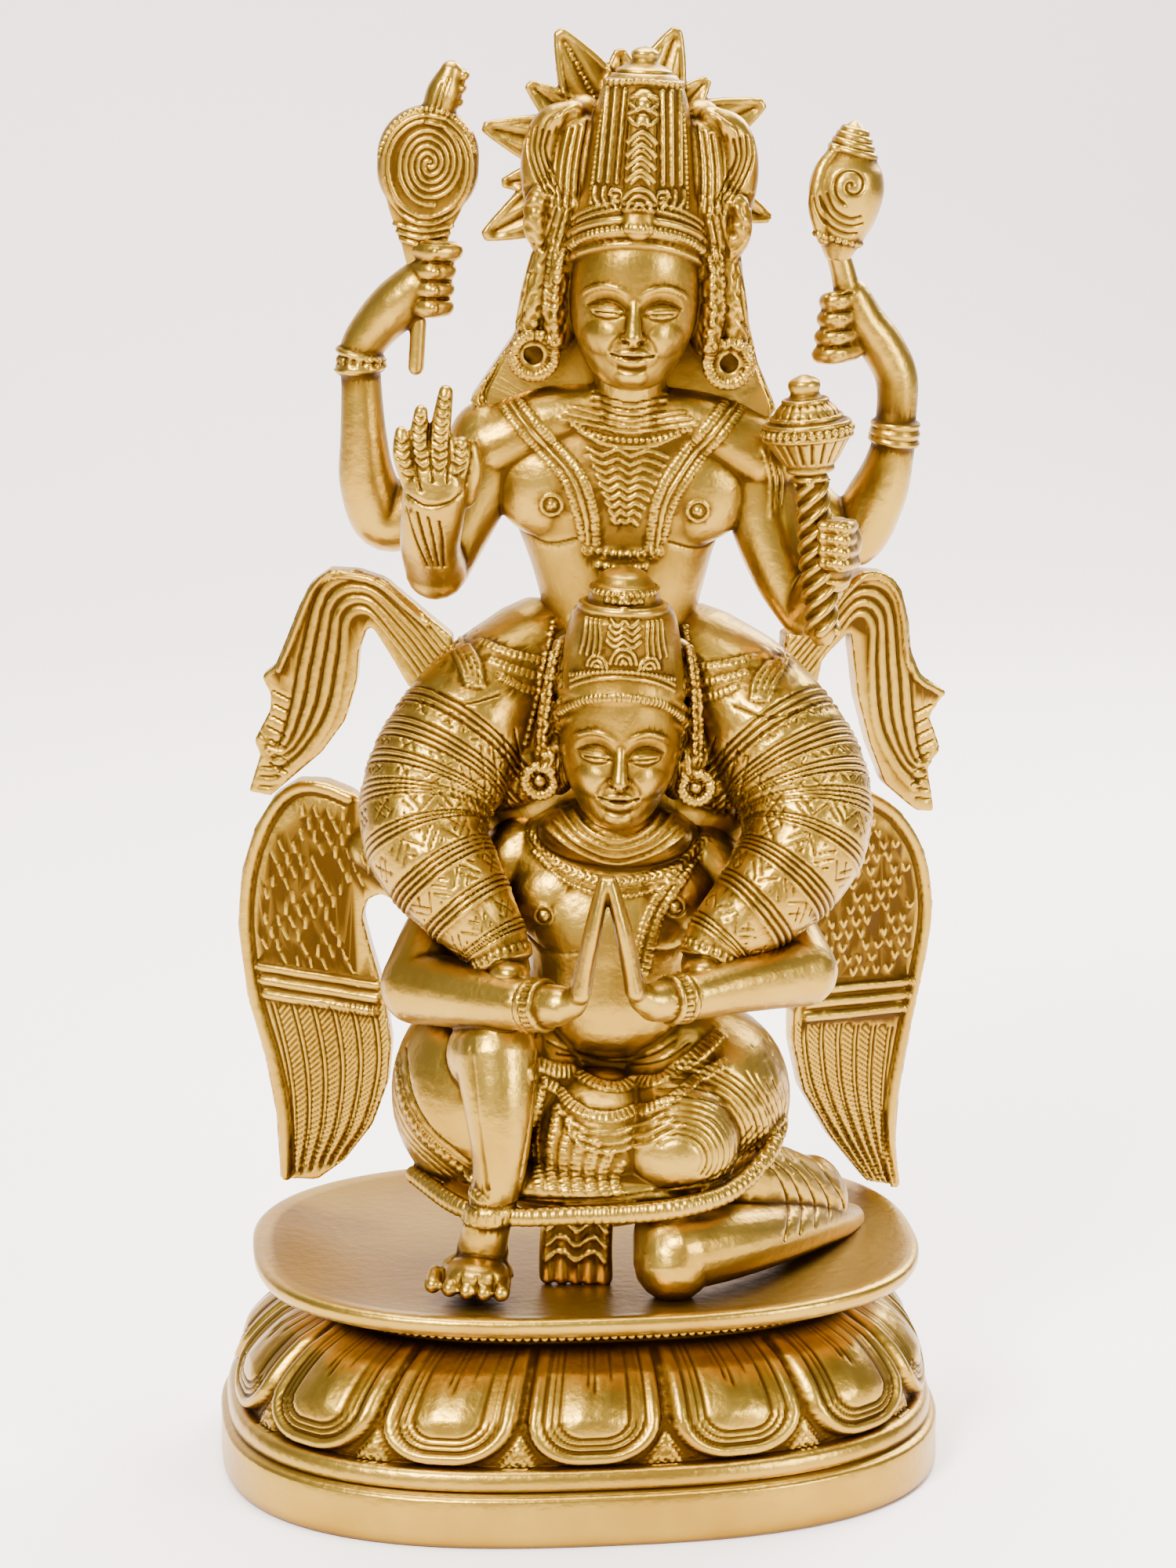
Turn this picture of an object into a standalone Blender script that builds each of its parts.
"""Vishnu seated on the shoulders of kneeling Garuda, cast in brass with an oval lotus pedestal.

One closed solid.  The pedestal is lofted from its width, depth and level heights; the figures are
built from limbs, bodies and flat plates placed in shares of the figure's height, fused by a
voxel remesh, thinned to facets and united with the pedestal.
"""
import math

import bmesh
import bpy
import numpy as np
from mathutils import Matrix, Vector

# Pedestal, metres
PEDESTAL_WIDTH = 0.152
PEDESTAL_DEPTH = 0.119
BAND_HEIGHT = 0.0108
LEDGE_TOP = 0.0158
LOTUS_TOP = 0.0364
NECK_TOP = 0.0395
PLATE_WIDTH = 0.1405
PLATE_SHIFT = 0.0016
RIM_TOP = 0.0466
DISH_TOP = 0.0456
PETAL_RELIEF = 0.0026
PETALS = 14
PETAL_OFFSET = -0.09
OVAL_POWER = 2.6

# Figures: height of the group above the dish, its step aside, its lean and its turn
FIGURE_HEIGHT = 0.254
FIGURE_SHIFT = 0.003
FIGURE_LEAN = math.radians(2.5)
FIGURE_TURN = math.radians(-6.0)
FUSE_GRAIN = 0.0032
FACETS = 6900

UNIT = FIGURE_HEIGHT / 254.0
ORIGIN_Z = 0.046 * DISH_TOP / 0.0456


def spline(points, steps):
    """Catmull-Rom curve through rows of numbers, with `steps` spans between two rows."""
    p = np.array(points, float)
    if len(p) < 3 or steps < 2:
        return p
    ends = np.vstack([2 * p[0] - p[1], p, 2 * p[-1] - p[-2]])
    out = []
    for i in range(1, len(ends) - 2):
        a, b, c, d = ends[i - 1:i + 3]
        for t in np.arange(steps) / steps:
            out.append(0.5 * (2 * b + (c - a) * t + (2 * a - 5 * b + 4 * c - d) * t * t
                              + (3 * b - a - 3 * c + d) * t ** 3))
    out.append(p[-1])
    return np.array(out)


class Clay:
    """Closed shells gathered in figure units before they are fused."""

    def __init__(self):
        self.verts = []
        self.faces = []
        self.turned = True

    def shell(self, verts, faces):
        start = len(self.verts)
        turn = FIGURE_TURN if self.turned else 0.0
        c, s = math.cos(turn), math.sin(turn)
        self.verts += [(x * c - y * s, x * s + y * c, z) for x, y, z in verts]
        self.faces += [tuple(i + start for i in f) for f in faces]

    def rings(self, rings):
        """Skin over rings of equal count, closed with a flat cap at both ends."""
        n = len(rings[0])
        verts = [tuple(v) for ring in rings for v in ring]
        faces = [tuple(range(n - 1, -1, -1)), tuple(range(len(verts) - n, len(verts)))]
        for r in range(len(rings) - 1):
            for i in range(n):
                j = (i + 1) % n
                faces.append((r * n + i, r * n + j, (r + 1) * n + j, (r + 1) * n + i))
        self.shell(verts, faces)

    def limb(self, path, steps=4, sides=12, flat=1.0, up=(0, 0, 1)):
        """Round-ended tube along rows of x, y, z, radius; `flat` squeezes it across `up`."""
        rows = spline(path, steps)
        tangents = np.gradient(rows[:, :3], axis=0)
        side = None
        rings = []
        for k, (row, tan) in enumerate(zip(rows, tangents)):
            t = Vector(tan).normalized()
            if side is None:
                ref = Vector(up)
                if abs(t.dot(ref)) > 0.95:
                    ref = Vector((0, 1, 0))
                side = t.cross(ref).normalized()
            side = (side - t * side.dot(t)).normalized()
            over = t.cross(side)
            spans = [(0.0, 1.0)]
            if k == 0:
                spans = [(-0.95, 0.31), (-0.7, 0.71), (-0.3, 0.95), (0.0, 1.0)]
            if k == len(rows) - 1:
                spans = [(0.0, 1.0), (0.3, 0.95), (0.7, 0.71), (0.95, 0.31)]
            for along, wide in spans:
                mid = Vector(row[:3]) + t * row[3] * along
                r = row[3] * wide
                rings.append([mid + side * r * math.cos(a) + over * r * flat * math.sin(a)
                              for a in np.linspace(0, 2 * math.pi, sides, endpoint=False)])
        self.rings(rings)

    def ball(self, centre, radii, sides=16, tilt=(0, 0, 0)):
        """Ellipsoid, tilted by degrees about x, y, z."""
        turn = Matrix.Rotation(math.radians(tilt[2]), 3, "Z") @ \
            Matrix.Rotation(math.radians(tilt[1]), 3, "Y") @ \
            Matrix.Rotation(math.radians(tilt[0]), 3, "X")
        rings = []
        for lat in np.linspace(-0.49 * math.pi, 0.49 * math.pi, sides // 2 + 1):
            ring = []
            for a in np.linspace(0, 2 * math.pi, sides, endpoint=False):
                v = Vector((radii[0] * math.cos(lat) * math.cos(a),
                            radii[1] * math.cos(lat) * math.sin(a), radii[2] * math.sin(lat)))
                ring.append(Vector(centre) + turn @ v)
            rings.append(ring)
        self.rings(rings)

    def loft(self, rows, steps=4, sides=24, power=2.2):
        """Upright body through rows of z, centre x, centre y, half width, half depth."""
        rings = []
        for z, cx, cy, a, b in spline(rows, steps):
            ring = []
            for t in np.linspace(0, 2 * math.pi, sides, endpoint=False):
                c, s = math.cos(t), math.sin(t)
                ring.append((cx + a * math.copysign(abs(c) ** (2 / power), c),
                             cy + b * math.copysign(abs(s) ** (2 / power), s), z))
            rings.append(ring)
        self.rings(rings)

    def turned_form(self, foot, head, profile, steps=3, sides=20):
        """Lathe form on the axis foot to head; profile rows are share of length, radius."""
        foot, head = Vector(foot), Vector(head)
        axis = head - foot
        t = axis.normalized()
        side = t.cross(Vector((0, 1, 0.01))).normalized()
        over = t.cross(side)
        rings = []
        for share, r in spline(profile, steps):
            r = max(r, 0.05)
            mid = foot + axis * share
            rings.append([mid + side * r * math.cos(a) + over * r * math.sin(a)
                          for a in np.linspace(0, 2 * math.pi, sides, endpoint=False)])
        self.rings(rings)

    def hoop(self, centre, radius, thick, normal=(0, 1, 0), sides=20, squash=1.0):
        """Closed ring of round section."""
        n = Vector(normal).normalized()
        side = n.cross(Vector((0.01, 0.02, 1))).normalized()
        over = n.cross(side)
        verts, faces = [], []
        minor = 8
        for i in range(sides):
            a = 2 * math.pi * i / sides
            out = side * math.cos(a) + over * math.sin(a) * squash
            mid = Vector(centre) + out * radius
            for j in range(minor):
                b = 2 * math.pi * j / minor
                verts.append(mid + out.normalized() * thick * math.cos(b)
                             + n * thick * math.sin(b))
                k = ((i + 1) % sides) * minor
                m = (j + 1) % minor
                faces.append((i * minor + j, i * minor + m, k + m, k + j))
        self.shell([tuple(v) for v in verts], faces)

    def sheet(self, outline, y0, x0, slope, thick):
        """Flat plate with an x, z outline whose front lies at y0 + slope * (|x| - x0)."""
        front = [(x, y0 + slope * (abs(x) - x0), z) for x, z in outline]
        back = [(x + math.copysign(thick * 0.4 * slope, -x), y + thick, z) for x, y, z in front]
        self.rings([front, back])


def garuda(c):
    """Kneeling bearer with folded hands."""
    c.loft([(22, 0, 0, 25, 17), (34, 0, 0, 21, 16), (43, 1, -4, 17, 14), (54, 1, -7, 17.5, 15.5),
            (64, 1, -7, 17, 14.5), (74, 0.5, -6, 20, 14), (83, 0, -4, 22, 12.5),
            (89, 0.5, -4, 20, 10.5), (95, 1, -7, 13, 9)])
    c.ball((1.5, -12, 53), (15, 10.4, 9.5))
    c.ball((-9.5, -10, 76), (11, 7.6, 10))
    c.ball((11.5, -10, 77.5), (11, 7.6, 10))
    c.ball((1, -11.5, 91), (16, 9.5, 7))
    c.limb([(0.7, -8, 90, 8), (1, -12, 100, 8)])
    c.ball((1.2, -14.5, 111), (12.7, 13, 13))
    c.ball((1.2, -17.5, 104), (10.3, 10.5, 8.8))
    c.limb([(1, -27, 110, 1.2), (1, -29.3, 105.5, 1.7), (1.1, -29.2, 103.5, 1.6)], 2, 8)
    c.limb([(-6.5, -25.5, 113.6, 1.2), (-3.5, -27.2, 115.4, 1.3), (1, -28, 113.6, 1.2),
            (5.5, -27.2, 115.4, 1.3), (9, -25.5, 113.6, 1.2)], 3, 8)
    c.ball((1, -11.5, 113.5), (13.4, 12.5, 10))
    c.turned_form((0.9, -13.5, 119.5), (0.4, -15.5, 147.6),
                  [(0, 12.8), (0.11, 13.5), (0.34, 11.9), (0.48, 11.4), (0.64, 10.4),
                   (0.75, 7.4), (0.82, 7.0), (0.89, 5.6), (0.95, 4.2), (1, 0.4)], 2)
    c.hoop((0.9, -14, 114.8), 13.0, 1.4, (0, 0.6, 1), 24, 1.0)
    c.hoop((0.5, -15.4, 139.2), 7.9, 1.2, (0, 0, 1), 20)
    for side in (-1, 1):
        c.hoop((1 + side * 16.4, -14.5, 102), 3.5, 1.5)
        c.limb([(1 + side * 13.2, -12, 130, 1.5), (1 + side * 14.6, -14, 122, 1.7),
                (1 + side * 15.2, -14, 114, 1.7), (1 + side * 15.6, -13, 106, 1.6)])
        c.ball((1 + side * 12, -9, 105), (4, 6, 7))
        c.limb([(1 + side * 10.6, -9, 128, 4), (1 + side * 12, -9.5, 118, 4.6),
                (1 + side * 12.8, -9.5, 108, 4.8)])
    # Arms: shoulders behind the rider's legs, forearms forward, palms together
    c.limb([(-18, -3, 84, 8), (-32, -6, 70, 7.8), (-38.2, -17, 58.2, 8)])
    c.limb([(-38.2, -17, 58.2, 7.9), (-27, -28, 59.4, 6.6), (-15, -38.4, 61, 5),
            (-9.4, -43, 62.4, 4.2)])
    c.limb([(19, -3, 84, 8), (33, -6, 74, 7.8), (40.6, -18, 65, 7.4)])
    c.limb([(40.6, -18, 65, 7.3), (28, -28.6, 64.8, 6), (16, -38, 63.8, 4.7),
            (10, -42.8, 64, 4.1)])
    hands = [[(-9.4, -43, 62.2, 3.7), (-6.6, -45, 63.6, 3.0), (-5.0, -46, 66.4, 2.2),
              (-4.2, -46.4, 72, 2.0), (-3.0, -46.8, 80, 1.9), (-1.5, -46.6, 89.4, 1.4)],
             [(10, -42.8, 63.8, 3.7), (7.6, -45, 65.2, 3.0), (5.8, -46, 67.4, 2.2),
              (4.6, -46.4, 72.6, 2.0), (2.6, -46.8, 80.6, 1.9), (0.0, -46.6, 89.4, 1.4)]]
    for path in hands:
        c.limb(path[:3], 4, 12)
        c.limb(path[2:], 4, 12, 2.0)
    c.hoop((-15, -38.4, 61), 5.0, 1.2, (-11, 10.5, -3))
    c.hoop((16, -38, 63.8), 4.8, 1.2, (11, 9, 0))
    # Belt, cloth over both thighs and the hem stretched between shin and knee
    c.limb([(-15, -13, 45, 1.8), (-7, -19.5, 41.5, 2), (3, -21.5, 40, 2), (12, -19.5, 42, 2),
            (20, -14, 47.5, 1.8)])
    c.limb([(-14, -15, 40, 1.6), (-4, -21.6, 36.4, 1.6), (8, -22.6, 36.4, 1.6),
            (20, -18, 43, 1.6)])
    c.ball((0, -17, 28), (19, 18.6, 15))
    c.ball((16.5, -26, 29), (12.6, 12, 12))
    c.ball((-21.5, -8, 34), (21.8, 23, 24))
    c.ball((19.5, -5, 34), (20.8, 23, 20.5))
    c.ball((0, -12, 24), (25, 18, 17))
    c.limb([(-38, -14, 17, 1.6), (-27, -31, 15.4, 2), (-16, -37.5, 16, 2), (-3.9, -38, 17, 2),
            (7, -39.5, 18.4, 2.2), (17.5, -39.5, 20.2, 2.2), (27.5, -33, 22, 2),
            (35, -22, 26.5, 1.8), (38.5, -10, 30.5, 1.6)])
    c.ball((0, -26, 21), (27, 12, 5.5))
    # Raised leg
    c.limb([(-13, -4, 34, 12), (-20, -18, 44, 10.5), (-23.2, -28, 47.5, 8.6)])
    c.limb([(-21.6, -30.5, 48, 8.6), (-20.4, -34.5, 38, 7.2), (-19.8, -36.2, 27, 5.6),
            (-21.2, -36, 17, 4.7), (-22.4, -35.6, 10.5, 5.0), (-22.8, -33, 5, 5.0)])
    c.ball((-23.8, -36.5, 3.2), (7.4, 9.6, 4.4), 16, (-12, 0, 6))
    for k in range(5):
        x = -18.4 - 3.5 * k
        c.ball((x, -45.6 + 0.35 * k * k - 0.5 * k, 1.7), (1.9, 2.4, 1.9), 10)
    # Kneeling leg, shin laid back across the dish
    c.limb([(14, 2, 35, 13), (16, -16, 34, 12.6), (16.4, -25, 32, 11.5)])
    c.limb([(16, -33, 12.4, 8), (16.4, -36.4, 7.4, 8.2)], 1, 14)
    c.limb([(17.5, -35.5, 9.5, 8.4), (28, -28, 9.4, 7.8), (39, -16, 8, 6.4), (47, -5, 6.4, 5.2),
            (52, 4, 4.4, 4.4), (55.5, 11, 3, 3.2)])
    c.limb([(30, -14, 19, 9), (38, -6, 14.4, 9), (46, 2, 9.6, 8.4)])
    c.ball((46, 3, 9), (8, 9, 10))
    for x in (-8.2, -4.8, -1.4, 2.0):
        c.limb([(x, -28, 15, 1.8), (x - 0.4, -28.4, 8, 2), (x, -28, 1, 2)], 2, 8)


def vishnu(c):
    """Rider: torso, legs over the bearer's shoulders, head and crown."""
    c.loft([(112, 0, 9, 20, 13), (120, 0, 10, 25, 14), (127, 0, 9, 20, 13), (132, 0, 8, 16, 11.5),
            (141, -0.3, 7.5, 17.6, 11.5), (150, -1, 7, 20.4, 11.5), (156, -1, 6.5, 23.5, 12),
            (163, -1, 6, 26, 11.5), (170, -0.7, 6.5, 27.5, 10), (175.5, 0, 6.5, 20, 8.5),
            (181, 0, 5, 9, 7.5)])
    c.ball((0, 10, 121), (34, 14, 13))
    c.ball((-22, 0, 110), (17, 10, 18))
    c.ball((22, 0, 111), (17, 10, 18))
    c.ball((0, 4, 112), (22, 9, 18))
    c.loft([(84, 1, 2, 24, 7), (93, 1, 2, 30, 8), (104, 0, 3, 26, 9)])
    for side in (-1, 1):
        c.ball((-0.7 + side * 13, 1.4, 160.6), (13.4, 5.8, 11.4))
        c.limb([(side * 6, 4, 176, 6), (side * 17, 4.4, 173, 7.6), (side * 28, 5, 167.4, 8.4)])
        c.ball((-0.7 + side * 27.5, 6, 168), (8.6, 8.5, 9.2))
        c.ball((-0.2 + side * 15, -5.2, 157.4), (1.6, 1.6, 1.6), 8)
    c.limb([(0, 4, 174, 7.8), (0, 2, 186, 7.2)])
    c.ball((0, 0, 201), (13.4, 12.5, 14))
    c.ball((0, 2.5, 206), (14, 12, 10))
    c.ball((0, -3, 192.5), (10.8, 9.7, 9.4))
    c.limb([(0, -11.6, 201, 1.1), (0, -14.2, 196.4, 1.7), (0, -14, 194.6, 1.6)], 2, 8)
    c.limb([(-8.6, -9.8, 204, 1.1), (-5, -11.8, 206.3, 1.2), (0, -12.6, 204.2, 1.1),
            (5, -11.8, 206.3, 1.2), (8.6, -9.8, 204, 1.1)], 3, 8)
    c.turned_form((0, 1.5, 212), (0, 2, 247.6),
                  [(0, 13.4), (0.07, 14.2), (0.17, 13.6), (0.28, 12), (0.53, 10.6), (0.76, 9.2),
                   (0.88, 7.6), (0.955, 5.0), (1, 0.4)], 2, 24)
    c.hoop((0, 0, 208.3), 14.0, 1.4, (0, 0.5, 1), 24)
    c.limb([(0, -12.8, 216, 3.2), (0, -11.4, 220, 3.2), (0, -9.6, 230, 3.0),
            (0, -7.2, 240, 2.6)], 2, 8, 0.6, (0, 1, 0))
    # Hair falling behind the neck to the shoulders
    c.sheet([(-19, 212), (-20.6, 199.7), (-24.5, 190), (-32.6, 177), (-24, 170), (24, 171),
             (30.2, 178), (26, 187), (23, 198), (21, 212)], 3, 0, 0.0, 9)
    for side in (-1, 1):
        c.hoop((side * 19.9, 0.5, 187.3), 4.3, 1.3, (0, 1, 0.1))
        c.hoop((side * 19.9, 1.0, 187.3), 2.4, 1.0, (0, 1, 0.1), 14)
        c.limb([(side * 15.0, -2, 210, 2.2), (side * 15.8, -2, 202, 2.5),
                (side * 16.0, -1.4, 196, 2.4), (side * 15.6, -1, 191, 1.9)])
        c.limb([(side * 18.2, 2, 208, 3), (side * 19.6, 2, 200, 3.4), (side * 21, 2.4, 193, 3)])
        c.limb([(side * 13.5, 1.5, 207, 5.5), (side * 13.6, 2.5, 220, 5.4),
                (side * 12.4, 3.5, 232, 4.4)])
        c.ball((side * 15, 1.6, 200), (4.4, 4.6, 12))
        # Curls flaring beside the crown
        c.limb([(side * 16, 4, 206, 3.6), (side * 18.6, 4.5, 216, 4), (side * 20, 5, 226, 4.2),
                (side * 18.5, 4, 233.5, 3.6), (side * 14, 3, 236.5, 2.6)])
        c.limb([(side * 14, 6, 216, 4), (side * 15, 7, 228, 5), (side * 12, 7, 236, 4)])
        # Thigh, knee and shin
        lift = 1.2 * (1 + side)
        out = 0.9 * (1 + side)
        c.limb([(side * 16, 8, 122, 14), (side * 27, 1, 114 + lift, 14.2),
                (side * (35 + out), -6, 103 + lift, 14.4),
                (side * (38.2 + out), -11, 94 + lift, 13.6),
                (side * (36.5 + out), -16, 86.5 + lift, 12.6),
                (side * (30 + out), -21, 78.5 + lift, 10.4),
                (side * 23, -25, 70.5 + lift, 7.2), (side * 20.4, -27, 65.5 + lift, 5.2)], 4, 16)
        c.ball((side * 19.6, -30, 64.5 + lift), (4.4, 6.5, 3.4), 12, (-20, 0, 0))


def arms(c):
    """Four arms with open palm, disc, mace and conch."""
    # Raised open palm
    c.limb([(-27, 6, 168, 8.2), (-33, 3, 154, 7.4), (-38, 0, 142.6, 6.6)])
    c.limb([(-38, -1, 142.8, 6.6), (-39.2, -10, 149, 6.2), (-38.8, -15, 156, 6.4),
            (-38.4, -17, 162, 6.6)], 4, 12, 0.8)
    c.limb([(-38.4, -17, 160, 6.6), (-38.4, -17.5, 167.5, 6.4)], 1, 12, 0.5, (0, 1, 0))
    for x, top, lean in ((-44.6, 173.4, -0.4), (-41.7, 178.6, 0), (-37.6, 182.6, 0.4),
                         (-33.6, 172.4, 0.6)):
        c.limb([(x + 0.6, -17.5, 165, 2.1), (x + lean, -18.3, (165 + top) / 2, 2.1),
                (x + lean, -18, top - 1.4, 1.5)], 3, 8)
    c.limb([(-32.5, -15, 160, 2.4), (-31.2, -16, 166, 2.2), (-31.6, -16.5, 170.5, 1.6)], 3, 8)
    # Rear arm to the disc
    c.limb([(-26, 12, 166, 7.5), (-40, 15, 154.5, 7), (-49, 15.5, 149.5, 6.6),
            (-53.2, 14, 157.5, 6.0), (-54.4, 12.5, 167, 4.9), (-55.2, 12, 178, 4.2),
            (-55.6, 12, 185, 4.4), (-52.6, 11.5, 190.4, 4.9), (-48.4, 10.5, 195.2, 5.4),
            (-44.2, 9.5, 199.5, 5.0)])
    c.hoop((-56.1, 12, 179.6), 4.8, 1.2, (0, 0, 1))
    for k, z in enumerate((195.6, 199.2, 203, 207)):
        c.limb([(-44.5, 9, z, 2.3), (-41, 5.8, z, 2.3), (-38.4 + 0.6 * (k == 3), 7.2, z, 2)], 3, 8)
    c.limb([(-44.2, 9, 182.6, 1.6), (-43.8, 9, 212, 1.8)], 1, 8)
    for z in (223.4, 226):
        c.turned_form((-43, 5.9, z), (-43, 10.9, z), [(0, 9.4), (0.3, 10.4), (0.7, 10.4),
                                                      (1, 9.4)], 1, 24)
    c.limb([(-43.2, 8.4, 221, 9.4), (-43.4, 8.4, 214.4, 7.2), (-43.4, 8.5, 211, 5.6)],
           3, 14, 0.28, (0, 1, 0))
    c.limb([(-43.4, 8.4, 213.5, 5), (-43.4, 8.6, 207.5, 4.4)], 2, 12, 0.5, (0, 1, 0))
    c.limb([(-41.6, 8.2, 234, 3.4), (-40.2, 8.2, 239, 3.7), (-39.0, 8.2, 243.2, 2.5)], 3, 12)
    # Front arm with the mace
    c.limb([(27, 6, 167, 8.2), (29, 4, 155, 7.2), (33, 2, 144.5, 6.2), (37.4, 0, 136.6, 4.9)])
    c.limb([(37.4, 0, 137, 4.8), (40.6, -6, 143, 4.6), (42.6, -9.6, 150, 4.6)])
    c.ball((43.6, -10.2, 153.2), (5.2, 5.6, 5.2), 12)
    c.turned_form((41.6, -10.4, 132.0), (34.6, -10.5, 187.2),
                  [(0, 1.6), (0.06, 2.9), (0.2, 3.0), (0.42, 2.9), (0.6, 2.8),
                   (0.64, 3.4), (0.68, 5.6), (0.73, 7.4), (0.775, 8.9), (0.815, 8.8),
                   (0.84, 7.2), (0.875, 6.2), (0.92, 3.6), (0.96, 3.2), (1, 0.5)], 2, 16)
    # Rear arm to the conch
    c.limb([(26, 12, 166, 7.5), (36, 15, 157, 7), (47, 15.5, 150, 6.6), (52.3, 14, 159, 6.2),
            (54.8, 12.5, 168, 4.8), (55.4, 12, 176, 4.2), (55, 12, 184.5, 4.4),
            (51.5, 11.5, 191, 4.6), (47.5, 10.5, 196, 4.4), (44.8, 9.5, 201, 3.8)])
    c.hoop((55.2, 12, 172), 4.9, 1.2, (0, 0, 1))
    for k, z in enumerate((190, 193.6, 197.4, 201)):
        c.limb([(45.5 - 0.3 * k, 9, z, 2.3), (41.4, 6.6, z - 0.6, 2.1),
                (39.6 + 0.3 * k, 8, z - 1, 1.9)], 3, 8)
    c.limb([(44.6, 9, 198, 3), (42.6, 8.6, 206, 2.6), (40.9, 8.2, 210.6, 2.4)], 3, 10)
    c.turned_form((41.2, 8.2, 208.5), (43.4, 8.4, 237),
                  [(0, 2.4), (0.12, 4.2), (0.3, 6.6), (0.5, 7.7), (0.64, 7.2), (0.74, 5.5),
                   (0.8, 5.4), (0.86, 3.7), (0.9, 3.8), (0.96, 2.2), (1, 0.4)], 2, 16)


def inset(outline, by):
    """The outline moved inward by a distance, point for point."""
    p = np.array(outline, float)
    area = np.sum(p[:, 0] * np.roll(p[:, 1], -1) - np.roll(p[:, 0], -1) * p[:, 1])
    run = np.roll(p, -1, axis=0) - np.roll(p, 1, axis=0)
    run /= np.linalg.norm(run, axis=1)[:, None]
    inward = np.stack([-run[:, 1], run[:, 0]], axis=1) * math.copysign(1.0, area)
    return [tuple(q) for q in p + inward * by]


def crossings(outline, z):
    """Where an outline crosses a level."""
    found = []
    for (xa, za), (xb, zb) in zip(outline, outline[1:] + outline[:1]):
        if (za - z) * (zb - z) < 0:
            found.append(xa + (xb - xa) * (z - za) / (zb - za))
    return found


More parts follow.
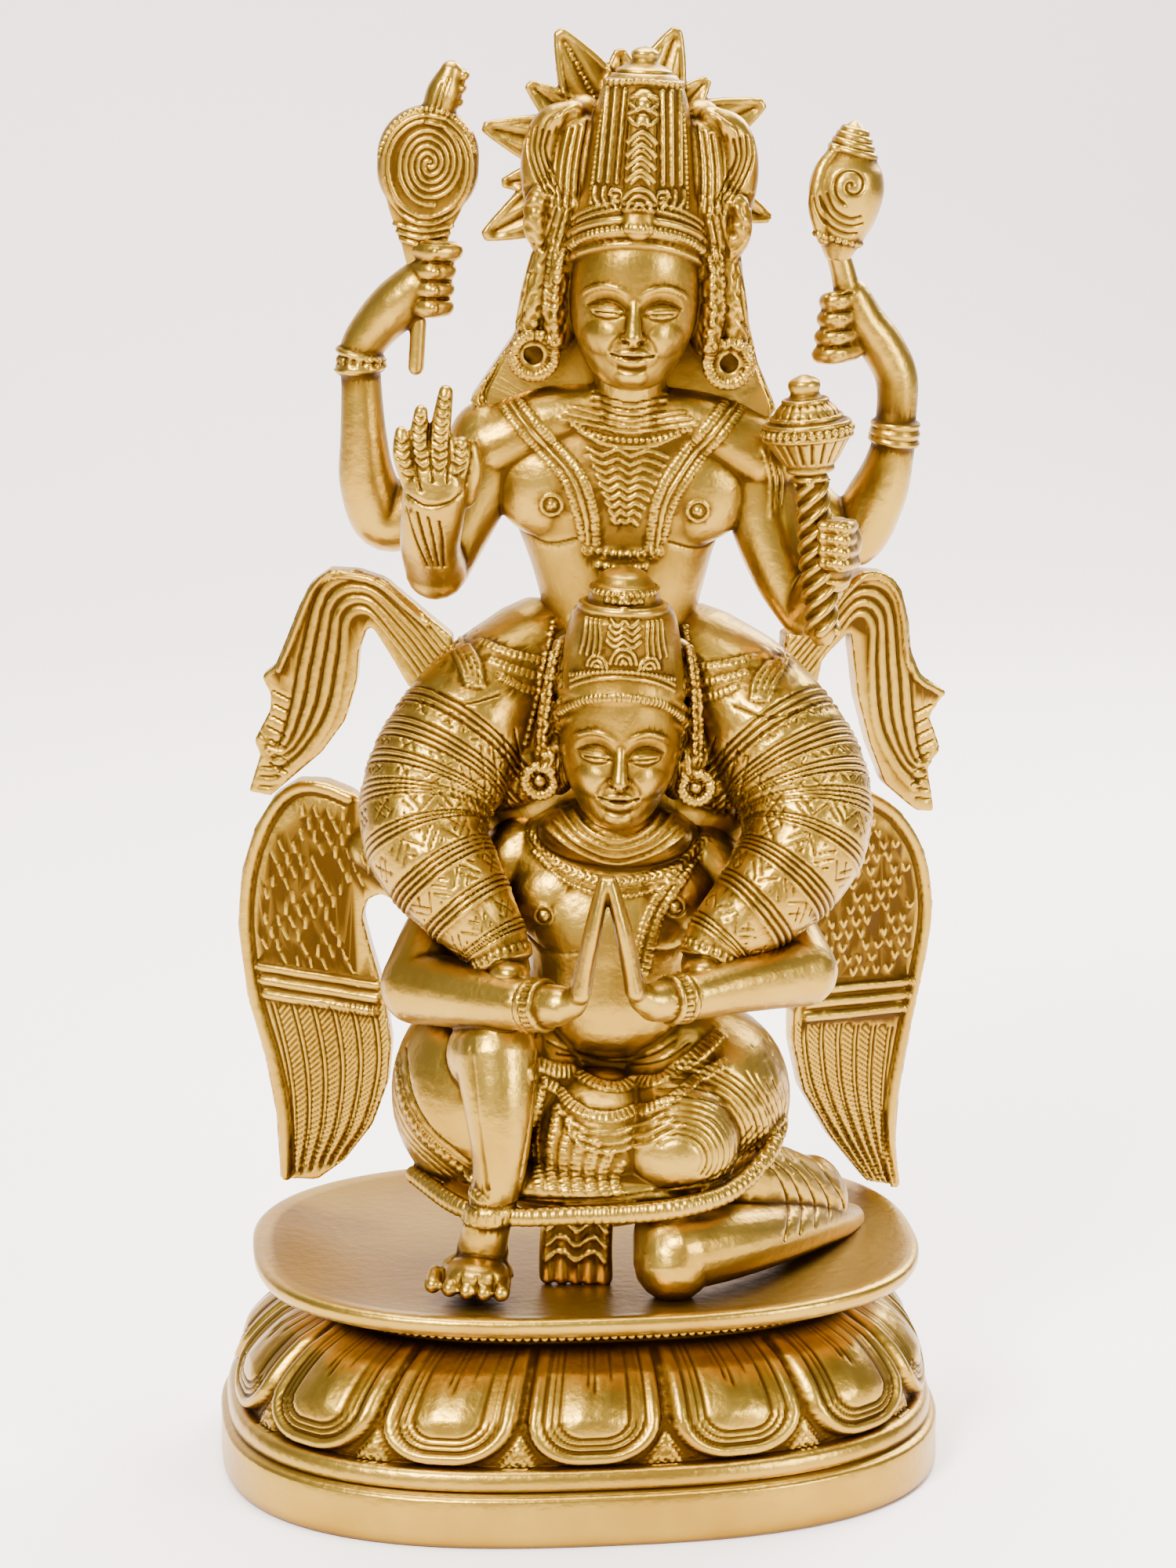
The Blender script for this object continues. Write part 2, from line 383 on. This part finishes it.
def rear_parts(c):
    """Wings, sashes and the pointed wheel behind the crown, square to the pedestal."""
    c.turned = False
    wing = [(-36, 82), (-47.5, 86.7), (-52.5, 90.9), (-58.2, 92.6), (-63.9, 92.2),
            (-68.7, 88.4), (-72.6, 81.0), (-75.1, 71.2), (-75.6, 59.0), (-73.2, 43.7),
            (-69.0, 30.2), (-66.4, 18.3), (-65.1, 3.8), (-57.2, 4.7), (-51.6, 10.0),
            (-46.1, 18.7), (-43.2, 28.8), (-42.8, 37.5), (-44.6, 47.7), (-47.8, 57.6),
            (-49.7, 64.2), (-48.8, 68.1), (-46.1, 69.8), (-36, 66)]
    other = [(36, 84), (53.1, 93.2), (58.6, 93.1), (66.4, 87.7), (72.6, 78.4), (75.6, 66.7),
             (75.0, 56.2), (72.2, 40.5), (70.1, 24.7), (69.8, 14.0), (71.4, 2.4), (63.7, 4.4),
             (54.1, 16.0), (46.9, 27.6), (43.9, 38.5), (43.7, 45.5), (46.5, 50.5),
             (46.6, 57.6), (36, 60)]
    for outline in (wing, other):
        c.sheet(outline, 16, 42, 0.45, 5.6)
        line = inset(outline, 1.7)[2:13 if outline is wing else 11]
        c.limb([(x, 15.9 + 0.45 * (abs(x) - 42), z, 1.5) for x, z in line], 2, 8)
        for k in range(3):
            z = 49.5 - 3.1 * k
            ends = sorted(x for x in crossings(inset(outline, 3.0), z))
            x0, x1 = (ends[0], ends[1]) if outline is wing else (ends[-2], ends[-1])
            c.limb([(x, 15.9 + 0.45 * (abs(x) - 42), z, 1.1) for x in (x0, x1)], 1, 8)
    for side in (-1, 1):
        c.limb([(side * 20, 6, 74, 12), (side * 34, 14, 76, 10), (side * 48, 21, 79, 5)])
    sash = [(-34, 128), (-38.3, 131.2), (-43.1, 134.8), (-48.0, 138.5), (-53.6, 139.9),
            (-59.2, 139.6), (-63.1, 136.2), (-65.3, 131.0), (-67.6, 124.1), (-69.8, 118.0),
            (-72.5, 115.7), (-70.5, 112.1), (-70.4, 108.7), (-73.6, 101.6), (-72.2, 98.9),
            (-74.4, 90.5), (-69.8, 90.2), (-65.1, 95.0), (-59.6, 100.6), (-55.0, 107.9),
            (-52.9, 116.4), (-52.6, 123.1), (-51.2, 127.8), (-50.1, 128.4), (-45.9, 122.2),
            (-42.5, 116.7), (-38.5, 113.8), (-33, 116)]
    mate = [(36, 130), (43.2, 132.7), (48.1, 139.2), (52.4, 142.6), (57.8, 142.0),
            (61.6, 138.5), (63.8, 131.6), (64.8, 124.8), (67.3, 119.6), (73.4, 115.5),
            (69.8, 110.1), (70.8, 108.3), (73.0, 103.0), (70.1, 99.8), (72.4, 89.3),
            (68.4, 89.6), (60.6, 96.1), (56.5, 105.0), (53.1, 115.4), (51.3, 125.6),
            (50.5, 129.8), (44.6, 124.3), (43.2, 116.8), (36, 116)]
    for outline in (sash, mate):
        c.sheet(outline, 8, 40, 0.4, 5.2)
        folds = inset(outline, 1.6)
        c.limb([(x, 7.9 + 0.4 * (abs(x) - 40), z, 1.3) for x, z in folds[2:9]], 2, 8)
    # Three flutes along each sash
    for side in (-1, 1):
        for k in range(3):
            g = 2.6 * k
            path = [(39.5 - g * 0.4, 117 + g), (44.5 - g * 0.3, 124.5 + g), (51, 131.3 + g),
                    (55.3 + g * 0.6, 129.6 + g * 0.8), (56.2 + g, 121), (58.2 + g, 109.5),
                    (64 + g * 0.7, 100)]
            c.limb([(side * x - 0.6, 7.8 + 0.4 * (x - 40), z, 1.15) for x, z in path], 3, 8)
    # Wheel of pointed leaves
    c.turned_form((-0.5, 13, 226), (-0.5, 17.5, 226), [(0, 16.5), (0.5, 18), (1, 16.5)], 1, 24)
    leaves = [((-16.5, 252.6), 6.6), ((8.2, 255.1), 6.6), ((27.3, 239.2), 6.4),
              ((29.7, 215.2), 5.6), ((-31.4, 232.3), 6.0), ((-30.4, 209.5), 6.6),
              ((-22.5, 241.4), 5.0), ((15.2, 243.8), 5.0), ((-3.6, 249.2), 6.0),
              ((-27.0, 220.7), 4.6)]
    for (x, z), half in leaves:
        tip = Vector((x, 15, z))
        root = Vector((-0.5, 13.5, 226)).lerp(tip, 0.25)
        length = (tip - root).length
        along = (tip - root).normalized()
        across = along.cross(Vector((0, 1, 0))).normalized()
        rings = []
        for share, w in ((0.0, 0.7), (0.3, 1.0), (0.55, 0.86), (0.8, 0.45), (0.97, 0.1)):
            mid = root + along * length * share
            thick = 2.4 * (1 - 0.5 * share)
            rings.append([mid + across * half * w, mid - Vector((0, thick, 0)),
                          mid - across * half * w, mid + Vector((0, thick, 0))])
        c.rings(rings)
    c.turned = True


def figure_mesh():
    """Fuse the shells and thin the result to facets."""
    c = Clay()
    garuda(c)
    vishnu(c)
    arms(c)
    rear_parts(c)
    mesh = bpy.data.meshes.new("figures")
    mesh.from_pydata([tuple(u * UNIT for u in v) for v in c.verts], [], c.faces)
    obj = bpy.data.objects.new("figures", mesh)
    bpy.context.scene.collection.objects.link(obj)
    bm = bmesh.new()
    bm.from_mesh(mesh)
    bmesh.ops.recalc_face_normals(bm, faces=bm.faces)
    bm.to_mesh(mesh)
    bm.free()
    fuse = obj.modifiers.new("fuse", "REMESH")
    fuse.mode = "VOXEL"
    fuse.voxel_size = FUSE_GRAIN * FIGURE_HEIGHT
    soften = obj.modifiers.new("soften", "SMOOTH")
    soften.factor = 0.5
    soften.iterations = 2
    return obj


def thinned(obj):
    """Fused mesh thinned to FACETS triangles."""
    fused = applied(obj)
    bpy.data.objects.remove(obj, do_unlink=True)
    out = bpy.data.objects.new("fused", fused)
    bpy.context.scene.collection.objects.link(out)
    thin = out.modifiers.new("thin", "DECIMATE")
    thin.ratio = min(1.0, FACETS / (2.0 * max(1, len(fused.polygons))))
    mesh = applied(out)
    bpy.data.objects.remove(out, do_unlink=True)
    return mesh


def applied(obj):
    """Mesh of an object with its modifiers worked in."""
    graph = bpy.context.evaluated_depsgraph_get()
    graph.update()
    return bpy.data.meshes.new_from_object(obj.evaluated_get(graph))


def oval(count_or_shares, half_w, half_d):
    """Points of the pedestal plan, spaced evenly along its edge, first one at the front."""
    t = np.linspace(-math.pi / 2, 1.5 * math.pi, 4001)
    e = 2.0 / OVAL_POWER
    base_w, base_d = PEDESTAL_WIDTH / 2, PEDESTAL_DEPTH / 2
    x = np.sign(np.cos(t)) * np.abs(np.cos(t)) ** e
    y = np.sign(np.sin(t)) * np.abs(np.sin(t)) ** e
    run = np.concatenate([[0], np.cumsum(np.hypot(np.diff(x * base_w), np.diff(y * base_d)))])
    s = np.asarray(count_or_shares, float) * run[-1]
    return np.stack([np.interp(s, run, x) * half_w, np.interp(s, run, y) * half_d], axis=1)


def petal_height(u, v):
    """Relief 0 to 1 of one drooping petal; u across from -0.5 to 0.5, v up from 0 to 1."""
    half = 0.47 if v > 0.36 else 0.47 * math.sqrt(max(0.0, 1 - ((0.36 - v) / 0.34) ** 2))
    return max(0.0, min(1.0, (half - abs(u)) / 0.06))


def lofted(name, rows, shares, relief=None):
    """Closed solid through plan ovals; rows are height, half width, step aside, petal level."""
    gap = (PEDESTAL_WIDTH - PEDESTAL_DEPTH) / 2
    bm = bmesh.new()
    rings = []
    for z, half, aside, v in rows:
        pts = oval(shares, half, half - gap)
        push = np.ones(len(pts))
        if v is not None:
            fade = min(1.0, 5 * (1 - v) + 0.1)
            lift = np.array([petal_height(u, v) for u in relief]) * PETAL_RELIEF * fade
            push += lift / np.hypot(pts[:, 0], pts[:, 1])
        rings.append([bm.verts.new((x * k + aside, y * k, z)) for (x, y), k in zip(pts, push)])
    bm.faces.new(list(reversed(rings[0])))
    bm.faces.new(rings[-1])
    for low, high in zip(rings, rings[1:]):
        for i in range(len(low)):
            j = (i + 1) % len(low)
            bm.faces.new((low[i], low[j], high[j], high[i]))
    bmesh.ops.recalc_face_normals(bm, faces=bm.faces)
    mesh = bpy.data.meshes.new(name)
    bm.to_mesh(mesh)
    bm.free()
    obj = bpy.data.objects.new(name, mesh)
    bpy.context.scene.collection.objects.link(obj)
    return obj


def pedestal():
    """Band with its ledge, petal zone, and neck with the dish, as three lofts that overlap."""
    w = PEDESTAL_WIDTH / 2
    plate = PLATE_WIDTH / 2
    side = PLATE_SHIFT
    plain = np.arange(52) / 52.0
    band = lofted("band", [
        (0.0, w - 0.0012, 0, None), (0.0012, w, 0, None), (BAND_HEIGHT - 0.0008, w, 0, None),
        (BAND_HEIGHT, w - 0.0008, 0, None), (BAND_HEIGHT + 0.0004, w - 0.0022, 0, None),
        (BAND_HEIGHT + 0.0011, w - 0.0014, 0, None), (LEDGE_TOP - 0.001, w - 0.0018, 0, None),
        (LEDGE_TOP, w - 0.0030, 0, None)], plain)
    shares, relief = [], []
    for p in range(PETALS):
        for u in (-0.5, -0.44, -0.3, 0.0, 0.3, 0.44):
            shares.append(((p + u + PETAL_OFFSET) / PETALS) % 1.0)
            relief.append(u)
    span = LOTUS_TOP - LEDGE_TOP
    rows = [(LEDGE_TOP - 0.002, w - 0.0052, 0, None), (LEDGE_TOP + 0.0002, w - 0.0052, 0, 0.0)]
    for v in (0.05, 0.15, 0.3, 0.5, 0.76, 1.0):
        bow = 0.0148 * v ** 2.3
        rows.append((LEDGE_TOP + span * v, w - 0.0050 - bow, side * v, v))
    lotus = lofted("lotus", rows, shares, relief)
    top = lofted("dish", [
        (LOTUS_TOP - 0.001, w - 0.0204, side, None), (NECK_TOP, w - 0.0204, side, None),
        (NECK_TOP + 0.0012, plate - 0.0066, side, None),
        (RIM_TOP - 0.0036, plate - 0.0008, side, None), (RIM_TOP - 0.0008, plate, side, None),
        (RIM_TOP, plate - 0.0012, side, None), (DISH_TOP + 0.0002, plate - 0.0042, side, None)],
        plain)
    return band, lotus, top


def brass():
    """Polished brass of the casting."""
    mat = bpy.data.materials.new("brass")
    mat.use_nodes = True
    shader = mat.node_tree.nodes["Principled BSDF"]
    shader.inputs["Base Color"].default_value = (0.62, 0.40, 0.12, 1.0)
    shader.inputs["Metallic"].default_value = 1.0
    shader.inputs["Roughness"].default_value = 0.32
    return mat


def build():
    for item in list(bpy.data.objects):
        bpy.data.objects.remove(item, do_unlink=True)
    mesh = thinned(figure_mesh())
    statue, lotus, top = pedestal()
    statue.name = "vishnu_on_garuda_statue"
    group = bpy.data.objects.new("group", mesh)
    bpy.context.scene.collection.objects.link(group)
    group.matrix_world = Matrix.Translation((FIGURE_SHIFT, 0, ORIGIN_Z)) @ \
        Matrix.Rotation(FIGURE_LEAN, 4, "Y")
    for other in (lotus, top, group):
        join = statue.modifiers.new("join " + other.name, "BOOLEAN")
        join.operation = "UNION"
        join.solver = "EXACT"
        join.object = other
    whole = applied(statue)
    statue.modifiers.clear()
    statue.data = whole
    for other in (lotus, top, group):
        bpy.data.objects.remove(other, do_unlink=True)
    bm = bmesh.new()
    bm.from_mesh(whole)
    bmesh.ops.triangulate(bm, faces=[f for f in bm.faces if len(f.verts) > 4])
    bmesh.ops.dissolve_degenerate(bm, dist=1e-6, edges=bm.edges)
    bm.to_mesh(whole)
    bm.free()
    whole.materials.clear()
    whole.materials.append(brass())
    home = bpy.data.collections.new("vishnu_on_garuda_statue")
    bpy.context.scene.collection.children.link(home)
    for old in list(statue.users_collection):
        old.objects.unlink(statue)
    home.objects.link(statue)


build()
